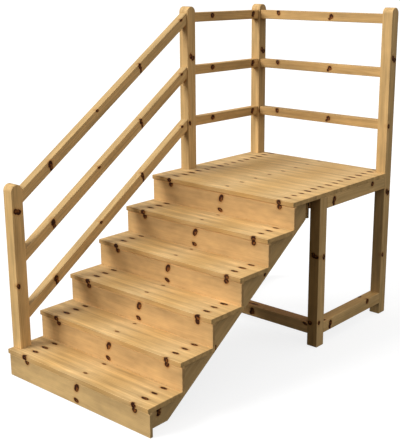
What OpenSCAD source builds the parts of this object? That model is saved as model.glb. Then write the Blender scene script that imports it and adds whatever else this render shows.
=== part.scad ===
// Wooden deck stairs: a straight flight of six rises climbing to a small landing on four
// legs, with a three-rail guard along the left side and across the back of the landing.
// X runs across the flight, Y climbs it, Z is up; the ground is at Z = 0.

/* [Flight] */
// Width of the treads, the risers and the landing
flight_w = 1220; // [900:10:1500]
// Height of one rise; the landing is six rises up
rise = 176; // [140:1:215]
// Depth from one riser face to the next
going = 255; // [210:1:310]
// Thickness of the tread and deck boards
board_t = 28; // [22:1:40]
// How far a tread stands out in front of its riser
nosing = 12; // [5:1:30]
// Thickness of the riser boards
riser_t = 20; // [16:1:30]
// Thickness of the two saw-tooth side beams
stringer_t = 40; // [30:1:60]
// Wood left upright below the notches of the side beams
waist = 98; // [70:1:140]

/* [Landing] */
// Side of the square timber of the posts, legs and beams
post = 80; // [65:1:100]
// From the face of the last riser to the front legs
lead = 281; // [240:1:340]
// Outside depth of the landing frame, front legs to back posts
landing_d = 880; // [600:10:1300]
// Height of the beams under the deck
beam_h = 80; // [60:1:140]
// Height of the lower rails above the ground
low_z = 84; // [50:1:200]
// Height of a lower rail
low_h = 80; // [60:1:100]
// Thickness of the board across the upper ends of the side beams
hanger_t = 18; // [12:1:25]
// How far that board reaches beyond each side beam
hanger_over = 10; // [0:1:30]
// Height of that board's lower edge above the side beams' lower corner
hanger_up = 8; // [0:1:30]
// Space between that board and the landing frame
hanger_gap = 45; // [10:1:80]

/* [Guard] */
// Height of the top rail above the deck
guard_h = 1097; // [900:1:1200]
// From one level rail to the next
rail_pitch = 364; // [260:1:380]
// Height of a rail, square to its length
rail_h = 64; // [40:1:75]
// How far the rails are set in from the faces of the posts
rail_inset = 10; // [5:1:15]

/* [Handrail] */
// Height of the bottom post above the first tread
newel_h = 1030; // [900:1:1150]
// How far the bottom post stands out beyond the end of the tread
newel_proud = 13; // [0:1:30]
// Space between the first riser and the bottom post
newel_gap = 16; // [5:1:60]
// From one sloping rail to the next, measured upright
slope_pitch = 367; // [270:1:380]
// Drop of the sloping top rail below the level one where they meet
meet_drop = 0; // [0:1:60]

/* [Hidden] */
rises = 6;
rails = 3;
round_n = 48;                      // sides of a full circle in the rounded post tops
top_margin = 3;                    // straight post between the top rail and the rounded top
newel_margin = 5;                  // the same on the bottom post
flat_eps = 1;                      // overrun of cutting tools

stringer_in = post - newel_proud;  // the bottom post is fixed to the side beam's outer face
slope = rise / going;
deck_z = rises * rise;
deck_under = deck_z - board_t;
y_nose = -nosing;
y_top_riser = (rises - 1) * going;
y_leg = y_top_riser + lead;
y_back = y_leg + landing_d;
y_back_post = y_back - post;
y_end = y_leg - hanger_gap - hanger_t;
beam_z = deck_under - beam_h;
rail_w = post - 2 * rail_inset;
guard_top = deck_z + guard_h;
post_top = guard_top + top_margin + post / 2;
newel_y = riser_t + newel_gap;
newel_top = rise + newel_h;
x_right = flight_w - post;

// sloping rails: top edge at the bottom post and at the upper post
slope_y0 = newel_y + post;
slope_y1 = y_leg;
slope_z0 = newel_top - post / 2 - newel_margin;
slope_z1 = guard_top - meet_drop;
rail_slope = (slope_z1 - slope_z0) / (slope_y1 - slope_y0);
rail_up = rail_h * sqrt(1 + rail_slope * rail_slope);
slope_run = slope_y1 - slope_y0;
rail_turn = atan(newel_proud / slope_run);  // the two posts aren't quite in line

// the origin is the middle of the footprint
shift = [-(flight_w - newel_proud) / 2, -(y_back + y_nose) / 2, 0];

pine = [0.82, 0.66, 0.42];
pine_side = [0.72, 0.56, 0.34];
pine_dark = [0.6, 0.45, 0.27];

// a squared timber from its low corner and its size
module timber(at, size) {
  translate(shift + at) cube(size);
}

// a shape drawn in Y and Z, given a width across the flight
module across(x, w) {
  translate(shift + [x, 0, 0])
    rotate([90, 0, 90]) linear_extrude(height = w) children();
}

// height of the straight lower edge of a side beam at y
function low_edge(y) = slope * (y - riser_t) - board_t - waist;
y_foot = riser_t + (board_t + waist) / slope;

// saw-tooth side beam: seats under the treads, plumb cuts behind the risers
module stringer(x) {
  teeth = [for (k = [1 : rises]) each [
    [(k - 1) * going + riser_t, k * rise - board_t],
    [k < rises ? k * going + riser_t : y_end, k * rise - board_t]]];
  color(pine_side) across(x, stringer_t)
    polygon(concat([[riser_t, 0]], teeth, [[y_end, low_edge(y_end)], [y_foot, 0]]));
}
module stringer_left() { stringer(stringer_in); }
module stringer_right() { stringer(flight_w - stringer_in - stringer_t); }

// board across the plumb-cut upper ends of both side beams
module hanger_board() {
  x0 = stringer_in - hanger_over;
  z0 = low_edge(y_end) + hanger_up;
  color(pine_dark) timber([x0, y_end, z0], [flight_w - 2 * x0, hanger_t, deck_under - z0]);
}

// riser k stands on the tread below and closes the rise up to tread k
module riser(k) {
  color(pine) timber([0, (k - 1) * going, (k - 1) * rise], [flight_w, riser_t, rise - board_t]);
}
module riser_1() { riser(1); }
module riser_2() { riser(2); }
module riser_3() { riser(3); }
module riser_4() { riser(4); }
module riser_5() { riser(5); }
module riser_6() { riser(6); }

// tread k reaches from its nosing to the back of the riser above
module tread(k) {
  color(pine) timber([0, (k - 1) * going - nosing, k * rise - board_t],
                     [flight_w, going + nosing + riser_t, board_t]);
}
module tread_1() {
  // the bottom post passes through an open notch in the left end
  difference() {
    tread(1);
    timber([-flat_eps, newel_y, rise - board_t - flat_eps],
           [stringer_in + flat_eps, post, board_t + 2 * flat_eps]);
  }
}
module tread_2() { tread(2); }
module tread_3() { tread(3); }
module tread_4() { tread(4); }
module tread_5() { tread(5); }

// landing deck, notched around the three posts that rise through it
module deck() {
  tool = [post + flat_eps, post, board_t + 2 * flat_eps];
  z0 = deck_under - flat_eps;
  color(pine) difference() {
    timber([0, y_top_riser - nosing, deck_under],
           [flight_w, y_back - y_top_riser + nosing, board_t]);
    timber([-flat_eps, y_leg, z0], tool);
    timber([-flat_eps, y_back_post, z0], tool + [0, flat_eps, 0]);
    timber([x_right, y_back_post, z0], tool + [0, flat_eps, 0]);
  }
}

// square post with a half-round top, the round running across the flight
module round_post(x, y, z1) {
  color(pine_side) across(x, post) {
    translate([y, 0]) square([post, z1 - post / 2]);
    intersection() {
      translate([y + post / 2, z1 - post / 2]) circle(d = post, $fn = round_n);
      translate([y, z1 - post]) square([post, post]);
    }
  }
}
module newel_post() { round_post(-newel_proud, newel_y, newel_top); }
module post_front_left() { round_post(0, y_leg, post_top); }
module post_back_left() { round_post(0, y_back_post, post_top); }
module post_back_right() { round_post(x_right, y_back_post, post_top); }
module leg_front_right() {
  color(pine_side) timber([x_right, y_leg, 0], [post, post, deck_under]);
}

// level timbers between the legs
module cross_timber(y, z, h) {
  color(pine_dark) timber([post, y, z], [flight_w - 2 * post, post, h]);
}
module side_timber(x, z, h) {
  color(pine_dark) timber([x, y_leg + post, z], [post, landing_d - 2 * post, h]);
}
module beam_front() { cross_timber(y_leg, beam_z, beam_h); }
module beam_back() { cross_timber(y_back_post, beam_z, beam_h); }
module beam_left() { side_timber(0, beam_z, beam_h); }
module beam_right() { side_timber(x_right, beam_z, beam_h); }
module lower_rail_front() { cross_timber(y_leg, low_z, low_h); }
module lower_rail_left() { side_timber(0, low_z, low_h); }
module lower_rail_right() { side_timber(x_right, low_z, low_h); }

// level guard rails, number k counted from the top
function guard_z(k) = guard_top - rail_h - k * rail_pitch;
module guard_left(k) {
  color(pine) timber([rail_inset, y_leg + post, guard_z(k)], [rail_w, landing_d - 2 * post, rail_h]);
}
module guard_back(k) {
  color(pine) timber([post, y_back_post + rail_inset, guard_z(k)],
                     [flight_w - 2 * post, rail_w, rail_h]);
}
module guard_left_top() { guard_left(0); }
module guard_left_middle() { guard_left(1); }
module guard_left_low() { guard_left(rails - 1); }
module guard_back_top() { guard_back(0); }
module guard_back_middle() { guard_back(1); }
module guard_back_low() { guard_back(rails - 1); }

// sloping rails from the middle of the bottom post to the middle of the upper post, with
// plumb-cut ends flat against both
module handrail(k) {
  spare = post / 2;
  lift = spare * rail_slope;
  color(pine) intersection() {
    translate(shift + [post / 2 - newel_proud, slope_y0, -k * slope_pitch])
      rotate([0, 0, -rail_turn])
        translate([-rail_w / 2, 0, 0])
          rotate([90, 0, 90]) linear_extrude(height = rail_w)
            polygon([[-spare, slope_z0 - lift - rail_up],
                     [slope_run + spare, slope_z1 + lift - rail_up],
                     [slope_run + spare, slope_z1 + lift], [-spare, slope_z0 - lift]]);
    timber([-post, slope_y0, 0], [3 * post, slope_run, post_top]);
  }
}
module handrail_top() { handrail(0); }
module handrail_middle() { handrail(1); }
module handrail_low() { handrail(rails - 1); }

stringer_left();
stringer_right();
hanger_board();
riser_1();
riser_2();
riser_3();
riser_4();
riser_5();
riser_6();
tread_1();
tread_2();
tread_3();
tread_4();
tread_5();
deck();
newel_post();
post_front_left();
post_back_left();
post_back_right();
leg_front_right();
beam_front();
beam_back();
beam_left();
beam_right();
lower_rail_front();
lower_rail_left();
lower_rail_right();
guard_left_low();
guard_left_middle();
guard_left_top();
guard_back_low();
guard_back_middle();
guard_back_top();
handrail_low();
handrail_middle();
handrail_top();
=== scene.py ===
"""Looks of the wooden deck stairs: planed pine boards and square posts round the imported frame."""
import bpy
import bmesh
import math
import random
from mathutils import Matrix, Vector


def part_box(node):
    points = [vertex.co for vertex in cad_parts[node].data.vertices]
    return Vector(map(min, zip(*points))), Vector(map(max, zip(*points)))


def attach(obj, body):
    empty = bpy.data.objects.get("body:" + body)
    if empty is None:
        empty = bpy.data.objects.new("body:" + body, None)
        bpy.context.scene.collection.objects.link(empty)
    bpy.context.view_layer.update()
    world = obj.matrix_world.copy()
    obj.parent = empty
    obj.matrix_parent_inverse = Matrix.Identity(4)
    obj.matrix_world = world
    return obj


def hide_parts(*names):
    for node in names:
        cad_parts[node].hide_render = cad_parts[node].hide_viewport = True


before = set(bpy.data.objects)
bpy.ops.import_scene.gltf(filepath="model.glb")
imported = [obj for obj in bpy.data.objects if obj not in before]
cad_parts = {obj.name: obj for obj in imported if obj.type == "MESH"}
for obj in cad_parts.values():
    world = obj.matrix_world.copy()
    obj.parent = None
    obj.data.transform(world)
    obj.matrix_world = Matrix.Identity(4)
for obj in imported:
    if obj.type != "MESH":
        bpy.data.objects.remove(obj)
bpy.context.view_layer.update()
scene = bpy.context.scene

# Lengths are in metres, colours are linear. A board's own coordinates are u along it, v across
# its width and w through its thickness.
X, Y, Z = Vector((1, 0, 0)), Vector((0, 1, 0)), Vector((0, 0, 1))
WHITE = (1, 1, 1, 1)
PLAIN = (1, 1, 1)                          # the tint that changes nothing

LEFT_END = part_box("riser_1")[0].x          # left end of the boards
FLIGHT_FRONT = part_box("riser_1")[0].y      # face of the first riser
POST_W = 0.080                             # side of a post or beam
RAIL_W = 0.060                             # thickness of a rail
STRINGER_T = 0.040                         # thickness of a side beam of the flight

EARLY = (0.575, 0.375, 0.160, 1)           # early wood
LATE = (0.450, 0.255, 0.088, 1)            # late wood, the darker part of a ring
RING_WIDTH = 0.0074
OUTLINE = (0.030, 0.006, 0.001, 1)         # dark edge of a knot
HEART = (0.215, 0.068, 0.012, 1)           # redder middle of a knot
RIM = (0.300, 0.125, 0.038, 1)             # wood right round a knot
STAIN = (0.74, 0.52, 0.34, 1)              # what the wood near a knot is multiplied by
DARK_SIDE = (-0.85, 0.50, 0.0)             # from a knot's heart to its dark side
KNOT_WAVE = (0.009, 0.006, 0.006)          # how far a knot's outline wanders
KNOT_DEPTH = 0.024                         # how deep a knot goes into its face
KNOT_STRENGTH = 0.97

STAVE = 0.0764                             # width of a stave, from one row of knots to the next
KNOT_STEP = 0.466                          # distance between knots along a stave
PALE_AT = 0.590                            # palest place along a stave
HUE_SWING = (0.035, 0.070, 0.150)          # how much paler a stave is there, by colour
ROW_JITTER = 0.016                         # range in which a row's knots move along the board
NOSE_MIDDLE = 0.0150                       # height of the nosing's knots in the board
NOSE_REACH = 0.0155                        # and their half height
OUT_OF_REACH = 9.0                         # added to the distance of a knot that isn't there

SEED_SHIFT = (7.31, 3.17, 5.73)            # moves each board's patterns by its seed
SEED_SPAN = 10


# ---------------------------------------------------------------- node helpers
class Net:
    """A few short ways to wire a shader node tree."""

    def __init__(self, tree):
        self.tree = tree

    def node(self, kind, **settings):
        made = self.tree.nodes.new(kind)
        for key, value in settings.items():
            setattr(made, key, value)
        return made

    def put(self, socket, value):
        if isinstance(value, bpy.types.NodeSocket):
            self.tree.links.new(value, socket)
        elif value is not None:
            socket.default_value = value

    def math(self, op, a, b=None, c=None, clamp=False):
        made = self.node("ShaderNodeMath", operation=op, use_clamp=clamp)
        for socket, value in zip(made.inputs, (a, b, c)):
            self.put(socket, value)
        return made.outputs[0]

    def add(self, a, b):
        return self.math("ADD", a, b)

    def sub(self, a, b):
        return self.math("SUBTRACT", a, b)

    def mul(self, a, b):
        return self.math("MULTIPLY", a, b)

    def div(self, a, b):
        return self.math("DIVIDE", a, b)

    def mad(self, a, b, c, clamp=False):
        """a times b, plus c."""
        return self.math("MULTIPLY_ADD", a, b, c, clamp)

    def vec(self, op, a, b=None):
        made = self.node("ShaderNodeVectorMath", operation=op)
        self.put(made.inputs[0], a)
        self.put(made.inputs[1], b)
        return made.outputs["Value" if op in ("LENGTH", "DOT_PRODUCT") else "Vector"]

    def join(self, x, y, z):
        made = self.node("ShaderNodeCombineXYZ")
        for socket, value in zip(made.inputs, (x, y, z)):
            self.put(socket, value)
        return made.outputs[0]

    def split(self, v):
        made = self.node("ShaderNodeSeparateXYZ")
        self.put(made.inputs[0], v)
        return made.outputs

    def attribute(self, name):
        return self.node("ShaderNodeAttribute", attribute_name=name).outputs["Vector"]

    def noise(self, v, detail, rough, colour):
        made = self.node("ShaderNodeTexNoise")
        self.put(made.inputs["Vector"], v)
        made.inputs["Scale"].default_value = 1.0
        made.inputs["Detail"].default_value = detail
        made.inputs["Roughness"].default_value = rough
        return made.outputs["Color" if colour else "Fac"]

    def smooth(self, value, start, end):
        """0 at start and 1 at end, smoothly."""
        made = self.node("ShaderNodeMapRange", interpolation_type="SMOOTHSTEP")
        for socket, item in zip(made.inputs, (value, start, end, 0.0, 1.0)):
            self.put(socket, item)
        return made.outputs[0]

    def mix(self, fac, a, b, blend="MIX"):
        made = self.node("ShaderNodeMix", data_type="RGBA", blend_type=blend)
        self.put(made.inputs[0], fac)
        self.put(made.inputs[6], a)
        self.put(made.inputs[7], b)
        return made.outputs[2]

    def times(self, colour, factor):
        return self.mix(1.0, colour, factor, "MULTIPLY")


def knot_group():
    """Distance from a knot, 1 at its rim, and how far towards its dark side. The knot is an
    ellipsoid, tilted in the plane of its face."""
    tree = bpy.data.node_groups.new("knot_distance", "ShaderNodeTree")
    for name, way, kind in (("Point", "INPUT", "Vector"), ("Centre", "INPUT", "Vector"),
                            ("Radii", "INPUT", "Vector"), ("Tilt", "INPUT", "Float"),
                            ("Distance", "OUTPUT", "Float"), ("Side", "OUTPUT", "Float")):
        tree.interface.new_socket(name, in_out=way, socket_type="NodeSocket" + kind)
    net = Net(tree)
    given, out = net.node("NodeGroupInput"), net.node("NodeGroupOutput")
    point, centre, radii, tilt = given.outputs[:4]
    turned = net.node("ShaderNodeVectorRotate", rotation_type="Z_AXIS")
    net.put(turned.inputs["Vector"], net.vec("SUBTRACT", point, centre))
    net.put(turned.inputs["Angle"], tilt)
    scaled = net.vec("DIVIDE", turned.outputs[0], radii)
    net.put(out.inputs[0], net.vec("LENGTH", scaled))
    net.put(out.inputs[1], net.vec("DOT_PRODUCT", scaled, DARK_SIDE))
    return tree


KNOT_GROUP = knot_group()


# ---------------------------------------------------------------- pine
class Wood(Net):
    """A pine material in the making, for boards that carry three vector attributes: "wood" (the
    place in the board's own coordinates), "board" (seed, length, 0) and "tint", a colour
    factor that carries the board's tone and painted shade."""

    def __init__(self, tree):
        super().__init__(tree)
        self.place = self.attribute("wood")
        self.u, self.v, self.w = self.split(self.place)
        info = self.split(self.attribute("board"))
        self.seed, self.length = info[0], info[1]
        self.shift = self.join(*[self.mul(self.seed, part) for part in SEED_SHIFT])
        wave = self.vec("SUBTRACT", self.grain(45, 70, detail=1.0, colour=True), (0.5, 0.5, 0.5))
        self.wavy = self.vec("ADD", self.place, self.vec("MULTIPLY", wave, KNOT_WAVE))
        self.nearest = None                # least distance from any knot, 1 at its rim
        self.core = None                   # how much of a knot there is at this place
        self.lean = 0.0                    # how far towards the knot's dark side

    def grain(self, along, across, layer=1.0, detail=2.0, rough=0.5, colour=False):
        """Noise with so many periods in a metre along and across. Layers differ in pattern."""
        scaled = self.vec("MULTIPLY", self.place, (along, across, across))
        moved = self.vec("ADD", scaled, self.vec("MULTIPLY", self.shift, (layer,) * 3))
        return self.noise(moved, detail, rough, colour)

    def sway(self, level, pattern, amount):
        """The level, moved by amount as the pattern goes from 0 to 1, and unmoved at a half."""
        return self.mad(self.sub(pattern, 0.5), amount, level)

    def take(self, distance, side, strength):
        """Counts one more knot in nearest, core and lean."""
        mask = self.mul(self.smooth(distance, 1.22, 0.98), strength)
        if self.nearest is None:
            self.nearest, self.core = distance, mask
        else:
            self.nearest = self.math("MINIMUM", self.nearest, distance)
            self.core = self.math("MAXIMUM", self.core, mask)
        self.lean = self.mad(mask, side, self.lean)

    def single_knot(self, centre, radii, tilt, strength):
        made = self.node("ShaderNodeGroup", node_tree=KNOT_GROUP)
        for socket, value in zip(made.inputs, (self.wavy, centre, radii, tilt)):
            self.put(socket, value)
        self.take(made.outputs["Distance"], made.outputs["Side"], strength)

    def knot_rows(self, first, kinds):
        """Repeats each kind of knot (place along, half length, half width, strength, on every
        so many rows) once a stave. Returns the count of staves and the offset from the nearest
        row, both across the board."""
        u, v, w = self.split(self.wavy)
        count = self.div(self.sub(v, first), STAVE)
        row = self.math("ROUND", count)
        off = self.mul(self.sub(count, row), STAVE)
        row_number = self.math("ABSOLUTE", row)
        front = self.math("LESS_THAN", row_number, 0.5)
        for k, (along, half_u, half_v, strength, every) in enumerate(kinds):
            dice = self.node("ShaderNodeTexWhiteNoise", noise_dimensions="2D")
            throw = self.join(row, self.add(self.seed, 3.7 * k + 1.3), 0.0)
            self.put(dice.inputs["Vector"], throw)
            chance = self.split(dice.outputs["Color"])
            at = self.mad(chance[0], ROW_JITTER, along - ROW_JITTER / 2)
            at = self.mad(front, 0.004, at)
            size = self.mad(chance[1], 0.30, 0.82)
            # the front row runs through the nose of the board as a round knot
            du = self.div(self.sub(u, at), self.mad(front, -0.0055, half_u))
            dv = self.div(off, half_v)
            dw = self.mul(self.mul(self.sub(w, NOSE_MIDDLE), 1 / NOSE_REACH), front)
            far = self.div(self.vec("LENGTH", self.join(du, dv, dw)), size)
            if every > 1:                  # skips the rows between, and the nose
                other = self.math("MODULO", self.add(row_number, 1.0), float(every))
                far = self.add(far, self.mul(other, OUT_OF_REACH))
                far = self.mad(front, OUT_OF_REACH, far)
            side = self.mad(dw, DARK_SIDE[1], self.mul(du, DARK_SIDE[0]))
            self.take(far, side, self.mad(chance[2], 0.30, strength - 0.2, clamp=True))
        return count, off

    def late_wood(self, depth):
        """1 in late wood: rings round a pith at w = depth, which wanders, and round the knots."""
        drift = self.split(self.grain(0.8, 4.0, colour=True))
        offset = self.mad(self.math("FRACT", self.mul(self.seed, 5.19)), 0.05, 0.0)
        dv = self.sub(self.mad(drift[0], 0.075, self.v), offset)
        dw = self.mad(drift[1], 0.060, self.sub(self.w, depth))
        pith = self.math("SQRT", self.add(self.mul(dv, dv), self.mul(dw, dw)))
        if self.nearest is not None:
            fade = self.math("EXPONENT", self.mul(self.mul(self.nearest, self.nearest), -0.45))
            pith = self.add(pith, self.mul(fade, 0.016))
        ring = self.math("FRACT", self.div(pith, RING_WIDTH))
        return self.sub(self.smooth(ring, 0.35, 0.88), self.smooth(ring, 0.90, 1.0))

    def staves(self, level, count, off):
        """The level with its staves: darker along the rows of knots, paler between, and a
        hairline joint. Returns the hue too: paler and less yellow near the knots of each stave,
        warmer half way between them."""
        across = self.math("COSINE", self.mul(count, 2 * math.pi))
        patch = self.smooth(self.grain(5.5, 11, 6.0, detail=1.0), 0.34, 0.66)
        level = self.mad(across, self.mad(patch, -0.085, -0.030), level)
        along = self.mul(self.sub(self.u, PALE_AT), 2 * math.pi / KNOT_STEP)
        swell = self.math("COSINE", along)
        hue = self.join(*[self.mad(swell, part, 1.0) for part in HUE_SWING])
        flash = self.smooth(self.grain(10, 24, 7.0, detail=1.0), 0.46, 0.68)
        between = self.mul(self.mad(across, -0.5, 0.5), self.mad(swell, 0.5, 0.5))
        level = self.mad(self.mul(flash, between), 0.20, level)
        # darker within 0.11 m of the boards' left ends, under the rails: painted shade
        level = self.mad(self.smooth(self.u, 0.11, 0.03), -0.13, level)
        from_row = self.math("ABSOLUTE", off)
        joint = self.smooth(from_row, STAVE / 2 - 0.0012, STAVE / 2 - 0.0003)
        return self.mad(joint, -0.25, level), hue

    def stain_knots(self, colour):
        """The colour with a stain round each knot, its rim, and its heart off the middle."""
        halo = self.mul(self.smooth(self.nearest, 1.75, 1.0), self.core)
        near = self.mul(self.smooth(self.nearest, 2.1, 1.0), 0.60)
        colour = self.mix(near, colour, self.times(colour, STAIN))
        colour = self.mix(halo, colour, RIM)
        ringed = self.mad(self.math("SINE", self.mul(self.nearest, 19.0)), 0.15, 0.85)
        patchy = self.sub(self.grain(80, 80, 5.0, detail=0.0), 0.5)
        inside = self.mad(patchy, 1.6, self.mad(self.lean, 0.75, self.nearest))
        inner = self.mul(self.smooth(inside, 0.52, 0.02), ringed)
        return self.mix(self.core, colour, self.mix(inner, OUTLINE, HEART))


def pine(name, knots, tone=1.0, rows=None, depth=-0.07, contrast=1.0, mottle=0.34, painted_light_bands=()):
    """A pine material. knots is a list of (place, radii, tilt, strength), rows is (place of the
    first row across the board, kinds of knot), and bands is a list of (start, end, step in
    tone) across the board: strips of painted shade where the step is below 0 and of painted
    highlight where it is above. depth is the w of the rings' pith: below 0 it lies under the board."""
    mat = bpy.data.materials.new(name)
    mat.use_nodes = True
    mat.node_tree.nodes.clear()
    wood = Wood(mat.node_tree)
    for one in knots:
        wood.single_knot(*one)
    if rows:
        count, off = wood.knot_rows(*rows)
    late = wood.late_wood(depth)
    fibre = wood.grain(7, 520, detail=3.0, rough=0.6)
    streak = wood.grain(2.6, 52, 2.0)
    cloud = wood.grain(3.2, 8, 3.0)
    band = wood.grain(0.7, 17, 4.0, detail=1.0)
    blotch = wood.grain(13, 30, 8.0, detail=1.0)

    level = tone
    for pattern, amount in ((streak, 0.70 * contrast), (band, 0.42 * contrast), (cloud, mottle),
                            (blotch, mottle * 0.6), (fibre, 0.20)):
        level = wood.sway(level, pattern, amount)
    if rows:
        level, hue = wood.staves(level, count, off)
    from_end = wood.math("MINIMUM", wood.u, wood.sub(wood.length, wood.u))
    level = wood.mad(wood.smooth(from_end, 0.0022, 0.0004), -0.14, level)
    # strips of painted light across the board: painted shade where the step is below 0, a painted
    # highlight where it is above
    for start, end, painted_light_change in painted_light_bands:
        level = wood.mad(wood.smooth(wood.v, start, end), painted_light_change, level)

    colour = wood.mix(wood.mul(late, 0.50 * contrast), EARLY, LATE)
    colour = wood.times(colour, wood.join(level, level, level))
    # times the per-vertex colour factor, which carries the board's tone and painted shade
    colour = wood.times(colour, wood.attribute("tint_and_painted_shade"))
    if rows:
        colour = wood.times(colour, hue)
    rough = wood.mad(fibre, 0.16, 0.50)
    height = wood.add(wood.mul(late, 0.35), wood.mul(fibre, 0.6))
    if wood.nearest is not None:
        colour = wood.stain_knots(colour)
        rough = wood.mad(wood.core, 0.08, rough)
        height = wood.mad(wood.core, 0.5, height)

    bump = wood.node("ShaderNodeBump")
    bump.inputs["Strength"].default_value = 0.35
    bump.inputs["Distance"].default_value = 0.0006
    wood.put(bump.inputs["Height"], height)
    shader = wood.node("ShaderNodeBsdfPrincipled")
    wood.put(shader.inputs["Base Color"], colour)
    wood.put(shader.inputs["Roughness"], rough)
    wood.put(shader.inputs["Normal"], bump.outputs[0])
    shader.inputs["Specular IOR Level"].default_value = 0.14
    out = wood.node("ShaderNodeOutputMaterial")
    wood.put(out.inputs[0], shader.outputs[0])
    return mat


def spot(place, radii, tilt=0.0, strength=KNOT_STRENGTH):
    """One ellipsoid of dark wood, as pine() takes it."""
    return place, radii, tilt, strength


def knot(u, v, w, *lobes):
    """Lobes of one knot, each (along, across, half length, half width, tilt) from its middle."""
    return [spot((u + du, v + dv, w), (half_u, half_v, KNOT_DEPTH), tilt)
            for du, dv, half_u, half_v, tilt in lobes]


# ---------------------------------------------------------------- timber pieces
MERGE = 1e-5                               # vertices closer than this are one
FLAT = math.radians(1)                     # faces that turn by less are one face
SHARP = math.radians(20)                   # edges that turn by more are eased
ON_FACE = 1e-4                             # how near a face a point counts as on it
seeds = random.Random(11)


def eased_copy(node, ease):
    """A mesh in the shape of a CAD node, with its edges eased."""
    bm = bmesh.new()
    bm.from_mesh(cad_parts[node].data)
    bmesh.ops.remove_doubles(bm, verts=bm.verts, dist=MERGE)
    bmesh.ops.dissolve_limit(bm, angle_limit=FLAT, verts=bm.verts, edges=bm.edges)
    sharp = [e for e in bm.edges if len(e.link_faces) == 2 and e.calc_face_angle(0.0) > SHARP]
    bmesh.ops.bevel(bm, geom=sharp, offset=ease, offset_type="OFFSET", segments=3, profile=0.5,
                    affect="EDGES", clamp_overlap=True)
    bmesh.ops.recalc_face_normals(bm, faces=bm.faces)
    for face in bm.faces:
        face.smooth = True
    mesh = bpy.data.meshes.new("v_" + node)
    bm.to_mesh(mesh)
    bm.free()
    return mesh


def set_vectors(mesh, name, values):
    mesh.attributes.new(name, "FLOAT_VECTOR", "POINT").data.foreach_set("vector", values)


def timber(node, along, across, through, material, ease,
           origin=None, tint_and_painted_shade=PLAIN, faces=None):
    """A piece cut to the shape of a CAD node. along, across and through are the directions of
    the board's length, width and thickness. Its coordinates start at its own low corner, or at
    origin. faces gives single faces a colour factor of their own, on top of the board's, as
    painted shade: {(axis number, 0 low or 1 high): factor}."""
    seed = seeds.random() * SEED_SPAN
    mesh = eased_copy(node, ease)
    axes = [Vector(a).normalized() for a in (along, across, through)]
    points = [[v.co.dot(a) for a in axes] for v in mesh.vertices]
    low = [min(p[i] for p in points) for i in range(3)]
    size = [max(p[i] for p in points) - low[i] for i in range(3)]
    tints_and_painted_shade = []
    for p in points:
        own = Vector(tint_and_painted_shade)
        # single faces get their painted shade here
        for (i, end), painted_light_change in (faces or {}).items():
            if abs(p[i] - low[i] - end * size[i]) < ON_FACE:
                own = own * Vector(painted_light_change)
        tints_and_painted_shade += own[:]
    if origin is not None:
        low = [Vector(origin).dot(a) for a in axes]
    set_vectors(mesh, "wood", [p[i] - low[i] for p in points for i in range(3)])
    set_vectors(mesh, "board", [seed, size[0], 0.0] * len(mesh.vertices))
    set_vectors(mesh, "tint_and_painted_shade", tints_and_painted_shade)
    mesh.materials.append(material)
    piece = bpy.data.objects.new("v_" + node, mesh)
    scene.collection.objects.link(piece)
    normals = piece.modifiers.new("flat faces", "WEIGHTED_NORMAL")
    normals.weight = 80
    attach(piece, "root")
    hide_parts(node)


# a face of a timber, by its axis and end; the right face is that of a post, whose thickness is
# along X
RIGHT_END = (0, 1)
LOW_SIDE = (1, 0)
TOP_SIDE = (1, 1)
RIGHT_FACE = (2, 1)

# how far the edges are eased
TREAD_EASE, RISER_EASE, HANGER_EASE, STRINGER_EASE = 0.0015, 0.0018, 0.002, 0.0025
RAIL_EASE, POST_EASE = 0.004, 0.0045

# treads and deck: boards along X, with rows of knots across them
ROW_KNOTS = [(0.160, 0.0255, 0.0105, 1.10, 1), (1.107, 0.0240, 0.0105, 1.10, 1),
             (0.622, 0.014, 0.0072, 0.76, 2)]
tread_pine = pine("pine_tread", [], tone=1.06, rows=(0.004, ROW_KNOTS), contrast=0.95)
# the front faces of the noses are painted darker, more so up the flight: painted shade
NOSE_PAINTED_SHADE = {"tread_1": (0.92, 0.88, 0.82), "tread_2": (0.88, 0.82, 0.74),
              "tread_3": (0.88, 0.82, 0.74), "tread_4": (0.87, 0.81, 0.73),
              "tread_5": (0.83, 0.77, 0.68), "deck": (0.82, 0.76, 0.66)}
for node, nose_painted_shade in NOSE_PAINTED_SHADE.items():
    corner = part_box(node)[0]
    timber(node, X, Y, Z, tread_pine, TREAD_EASE,
           origin=(LEFT_END, corner.y, corner.z), faces={LOW_SIDE: nose_painted_shade},
           tint_and_painted_shade=(0.95, 0.95, 0.94) if node == "tread_1" else PLAIN)

# risers: a pair of knots at the middle, and one below the nosing on each side
RISERS = 6
riser_knots = (knot(0.169, 0.133, 0, (0, 0, 0.0165, 0.0175, 0.35))
               + knot(1.103, 0.132, 0, (0, 0, 0.0165, 0.0175, 0.35))
               + knot(0.624, 0.107, 0, (0, 0, 0.0165, 0.0250, 0.50))
               + knot(0.616, 0.027, 0, (0, 0, 0.0195, 0.0120, 0.30)))
# the riser is painted darker over its upper part, painted shade, and much lighter in a thin strip
# just under the nose, a painted highlight against the nose's shadow
riser_pine = pine("pine_riser", riser_knots, depth=0.09, contrast=0.36, mottle=0.55,
                  painted_light_bands=((0.066, 0.100, -0.09), (0.130, 0.139, 0.36)))
# risers 2 to 6 are tinted darker and warmer than riser 1: painted shade, warmed as by light bounced
# off the treads
for k in range(1, RISERS + 1):
    timber("riser_%d" % k, X, Z, Y, riser_pine, RISER_EASE,
           tint_and_painted_shade=(0.960, 0.970, 0.985) if k == 1 else (0.935, 0.885, 0.870))

# posts: knots up the side that faces right
post_knots = []
for z in (0.915, 1.850):
    post_knots += knot(z, 0.041, POST_W, (0.007, -0.010, 0.018, 0.014, 0.3),
                       (-0.007, 0.012, 0.013, 0.018, 0.7))
for z in (0.454, 1.390):
    post_knots += knot(z, 0.015, POST_W, (0, 0, 0.015, 0.011, 0.2))
post_pine = pine("pine_post", post_knots, depth=0.03, contrast=1.15)
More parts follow.
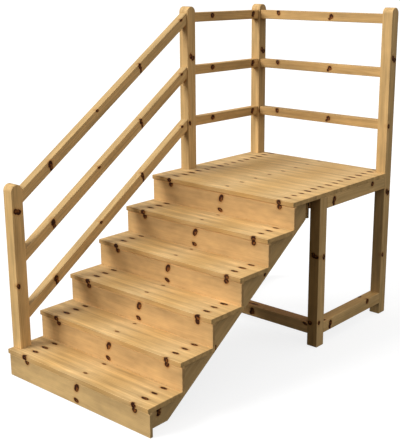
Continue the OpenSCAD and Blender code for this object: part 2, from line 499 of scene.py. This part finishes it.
# the posts' right faces are painted darker, the back left post's much darker: painted shade
for node, shade in (("post_front_left", 0.96), ("post_back_left", 0.78),
                    ("post_back_right", 0.97)):
    timber(node, Z, Y, X, post_pine, POST_EASE, faces={RIGHT_FACE: (shade,) * 3})

newel_knots = (knot(1.042, 0.034, POST_W, (0.004, -0.012, 0.017, 0.013, 0.2),
                    (-0.003, 0.009, 0.016, 0.017, 0.2))
               + knot(0.580, 0.012, POST_W, (0, 0, 0.016, 0.011, 0.2)))
newel_pine = pine("pine_newel", newel_knots, depth=0.03, contrast=1.15)
timber("newel_post", Z, Y, X, newel_pine, POST_EASE, tint_and_painted_shade=(1.06, 1.06, 1.05))

# the short leg: knots on its right side, then on its front
leg_knots = (knot(0.623, 0.056, POST_W, (0, 0, 0.018, 0.013, 0.2))
             + knot(0.172, 0.020, POST_W, (0, 0, 0.014, 0.012, 0.2))
             + [spot((0.632, 0.0, 0.049), (0.013, 0.03, 0.026)),
                spot((0.645, 0.0, 0.034), (0.012, 0.03, 0.013)),
                spot((0.163, 0.0, 0.022), (0.014, 0.02, 0.016))])
leg_pine = pine("pine_leg", leg_knots, tone=0.98, depth=0.03, contrast=0.85)
# its front face, under the deck and behind the flight, is painted much darker: painted shade
timber("leg_front_right", Z, Y, X, leg_pine, POST_EASE,
       faces={LOW_SIDE: (0.68, 0.60, 0.48)})

# level guard rails
left_knots = (knot(0.191, 0.040, RAIL_W, (0, 0, 0.018, 0.016, 0.1))
              + knot(0.654, 0.036, RAIL_W, (0.002, 0.007, 0.016, 0.013, 0.0),
                     (-0.006, -0.012, 0.014, 0.010, 0.4)))
left_pine = pine("pine_rail_left", left_knots, tone=0.98, depth=0.02, contrast=0.85)
for part in ("low", "middle", "top"):
    timber("guard_left_" + part, Y, Z, X, left_pine, RAIL_EASE,
           tint_and_painted_shade=(0.98, 0.93, 0.86))

back_knots = (knot(0.171, 0.046, 0.0, (0, 0, 0.014, 0.016, 0.0),
                   (-0.005, 0.009, 0.012, 0.009, 0.0))
              + knot(0.637, 0.033, 0.0, (0.002, 0.002, 0.015, 0.015, 0.3),
                     (-0.012, -0.014, 0.010, 0.009, -0.4)))
back_pine = pine("pine_rail_back", back_knots, tone=0.98, depth=0.09, contrast=0.85)
for part in ("low", "middle", "top"):
    timber("guard_back_" + part, X, Z, Y, back_pine, RAIL_EASE,
           tint_and_painted_shade=(0.91, 0.865, 0.80))

# sloping rails: their length runs up the slope, and a little to the right
SLOPE_TILT = 0.604                         # turns a knot on a sloping rail upright
slope_knots = (knot(0.2956, 0.034, RAIL_W, (0.003, 0.006, 0.0155, 0.021, SLOPE_TILT),
                    (-0.004, -0.015, 0.011, 0.018, SLOPE_TILT))
               + knot(1.231, 0.036, RAIL_W, (0.004, 0.013, 0.011, 0.017, SLOPE_TILT),
                      (-0.002, -0.012, 0.008, 0.022, SLOPE_TILT)))
for u in (0.780, 1.722):
    slope_knots += knot(u, 0.055, RAIL_W, (0, 0, 0.0115, 0.008, 0.2))
slope_pine = pine("pine_handrail", slope_knots, tone=0.98, depth=0.02, contrast=0.85)
END_SLICE = 0.001                          # a rail's end corners lie within this of its box
for part in ("low", "middle", "top"):
    node = "handrail_" + part
    foot_y, head_y = (corner.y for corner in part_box(node))
    corners = [v.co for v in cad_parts[node].data.vertices]
    foot_end = min((c for c in corners if c.y < foot_y + END_SLICE), key=lambda c: c.z + c.x)
    head_end = min((c for c in corners if c.y > head_y - END_SLICE), key=lambda c: c.z + c.x)
    climb = (head_end - foot_end).normalized()
    out_side = climb.cross(Z).normalized()
    # their top faces are painted darker: painted shade
    timber(node, climb, out_side.cross(climb), out_side, slope_pine, RAIL_EASE,
           origin=foot_end, faces={TOP_SIDE: (0.85, 0.87, 0.89)})

# side beams of the flight: the grain runs up the slope
step_1, step_2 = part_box("tread_1")[0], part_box("tread_2")[0]
pitch = Vector((0, step_2.y - step_1.y, step_2.z - step_1.z)).normalized()
pitch_up = Vector((0, -pitch.z, pitch.y))
STRINGER_KNOT = ((0.006, 0.008, 0.016, 0.012, 0.3), (-0.007, -0.010, 0.016, 0.013, -0.3))
stringer_knots = []
for y, z, size in ((0.132, 0.086, 1.0), (1.072, 0.637, 0.72), (0.602, 0.300, 0.8)):
    place = Vector((0, y, z))
    stringer_knots += knot(place.dot(pitch), place.dot(pitch_up), STRINGER_T,
                           *[(*[part * size for part in lobe], tilt)
                             for *lobe, tilt in STRINGER_KNOT])
stringer_pine = pine("pine_stringer", stringer_knots, tone=0.95, depth=-0.05, contrast=0.5)
for side in ("left", "right"):
    node = "stringer_" + side
    timber(node, pitch, pitch_up, X, stringer_pine, STRINGER_EASE,
           origin=(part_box(node)[0].x, FLIGHT_FRONT, 0))

# the board across their upper ends: its right end is painted near black, painted shade that shows
# as a dark sliver
hanger_pine = pine("pine_hanger", knot(0.300, 0.060, 0.0, (0, 0, 0.016, 0.013, 0.2)), tone=0.9)
timber("hanger_board", X, Z, Y, hanger_pine, HANGER_EASE,
       faces={RIGHT_END: (0.14, 0.10, 0.07)})

# beams and lower rails between the legs
side_knots = (knot(0.076, 0.038, POST_W, (0.004, 0.009, 0.016, 0.018, -0.3),
                   (-0.004, -0.015, 0.012, 0.018, -0.3))
              + knot(0.551, 0.064, POST_W, (0, 0, 0.016, 0.0165, -0.1))
              + [spot((0.024, 0.085, 0.062), (0.012, 0.02, 0.012)),
                 spot((0.554, 0.085, 0.010), (0.016, 0.02, 0.012))])
side_pine = pine("pine_beam_side", side_knots, tone=0.98, depth=0.03, contrast=0.85)
front_knots = (knot(0.588, 0.038, 0.0, (0.003, 0.004, 0.016, 0.022, -0.3),
                    (-0.010, -0.012, 0.012, 0.014, 0.0))
               + [spot((0.577, 0.080, 0.033), (0.036, 0.015, 0.009)),
                  spot((1.043, 0.064, 0.0), (0.019, 0.009, 0.02), 0.3, 0.85)])
front_pine = pine("pine_beam_front", front_knots, tone=0.98, depth=0.10, contrast=0.85)
# the lower rails' top faces are painted darker, the front rail's most: painted shade
SIDE_TOP_PAINTED_SHADE, FRONT_TOP_PAINTED_SHADE = (0.95, 0.86, 0.72), (0.75, 0.62, 0.48)
for node, top in (("beam_left", PLAIN), ("beam_right", PLAIN),
                  ("lower_rail_left", SIDE_TOP_PAINTED_SHADE), ("lower_rail_right", SIDE_TOP_PAINTED_SHADE)):
    timber(node, Y, Z, X, side_pine, RAIL_EASE,
           tint_and_painted_shade=(1.07, 1.07, 1.06), faces={TOP_SIDE: top})
for node, top in (("beam_front", PLAIN), ("beam_back", PLAIN), ("lower_rail_front", FRONT_TOP_PAINTED_SHADE)):
    timber(node, X, Z, Y, front_pine, RAIL_EASE,
           tint_and_painted_shade=(1.16, 1.06, 1.0), faces={TOP_SIDE: top})

# ---------------------------------------------------------------- floor, light, camera
FLOOR_HALF = 40.0
FLOOR_DROP = 0.0003                        # keeps the floor clear of the feet
BACKGROUND = 1.06                          # brightness behind the object, as the camera sees it


def pale_floor():
    """The floor's material. The camera sees it near white, and it lights the object little."""
    mat = bpy.data.materials.new("pale_floor")
    mat.use_nodes = True
    mat.node_tree.nodes.clear()
    net = Net(mat.node_tree)
    seen = net.node("ShaderNodeLightPath").outputs["Is Camera Ray"]
    matte = net.node("ShaderNodeBsdfDiffuse")
    pale = net.mad(seen, 0.27, 0.02)
    net.put(matte.inputs["Color"], net.join(pale, pale, pale))
    glow = net.node("ShaderNodeEmission")
    net.put(glow.inputs["Color"], WHITE)
    net.put(glow.inputs["Strength"], net.mul(seen, 0.79))
    both = net.node("ShaderNodeAddShader")
    net.put(both.inputs[0], matte.outputs[0])
    net.put(both.inputs[1], glow.outputs[0])
    out = net.node("ShaderNodeOutputMaterial")
    net.put(out.inputs[0], both.outputs[0])
    return mat


def studio():
    """A white world that lights more from overhead. The camera sees it evenly white."""
    world = bpy.data.worlds.new("studio")
    world.use_nodes = True
    world.node_tree.nodes.clear()
    net = Net(world.node_tree)
    seen = net.node("ShaderNodeLightPath").outputs["Is Camera Ray"]
    height = net.split(net.node("ShaderNodeTexCoord").outputs["Generated"])[2]
    overhead = net.mad(net.math("MAXIMUM", height, 0.0), 0.48, 0.32)
    shown = net.node("ShaderNodeMix", data_type="FLOAT")
    for i, value in ((0, seen), (2, overhead), (3, BACKGROUND)):
        net.put(shown.inputs[i], value)
    sky = net.node("ShaderNodeBackground")
    net.put(sky.inputs["Color"], WHITE)
    net.put(sky.inputs["Strength"], shown.outputs[0])
    out = net.node("ShaderNodeOutputWorld")
    net.put(out.inputs[0], sky.outputs[0])
    return world


def soft_sun(name, direction, energy, spread, colour):
    """Light from far off, as from a large soft box in that direction; spread in degrees."""
    lamp = bpy.data.lights.new(name, "SUN")
    lamp.energy = energy
    lamp.angle = math.radians(spread)
    lamp.color = colour
    made = bpy.data.objects.new(name, lamp)
    scene.collection.objects.link(made)
    made.rotation_euler = Vector(direction).to_track_quat("Z", "Y").to_euler()


bm = bmesh.new()
bmesh.ops.create_grid(bm, x_segments=8, y_segments=8, size=FLOOR_HALF)
mesh = bpy.data.meshes.new("floor")
bm.to_mesh(mesh)
bm.free()
mesh.materials.append(pale_floor())
floor = bpy.data.objects.new("floor", mesh)
floor.location.z = -FLOOR_DROP
scene.collection.objects.link(floor)

scene.world = studio()
soft_sun("key", (-0.30, -0.43, 0.33), 3.55, 38, (1.0, 0.995, 0.98))
soft_sun("side_fill", (0.90, 0.28, 0.35), 0.42, 60, (1.0, 1.0, 1.0))

CAMERA_AT = Vector((3.6670, -4.1745, 2.3959))
YAW, PITCH, ROLL = 0.69380, 0.25739, 0.00315
look = Vector((-math.sin(YAW) * math.cos(PITCH), math.cos(YAW) * math.cos(PITCH),
               -math.sin(PITCH)))
level_right = Vector((math.cos(YAW), math.sin(YAW), 0))
level_up = level_right.cross(look)
right = level_right * math.cos(ROLL) + level_up * math.sin(ROLL)
up = level_up * math.cos(ROLL) - level_right * math.sin(ROLL)
lens = bpy.data.cameras.new("camera")
lens.sensor_width = 36.0
lens.lens = 71.277
lens.shift_x = -0.0798
lens.shift_y = -0.0318
lens.clip_end = 200
camera = bpy.data.objects.new("camera", lens)
scene.collection.objects.link(camera)
turn = Matrix((right, up, -look)).transposed().to_4x4()
camera.matrix_world = Matrix.Translation(CAMERA_AT) @ turn
scene.camera = camera
scene.view_settings.view_transform = "Standard"
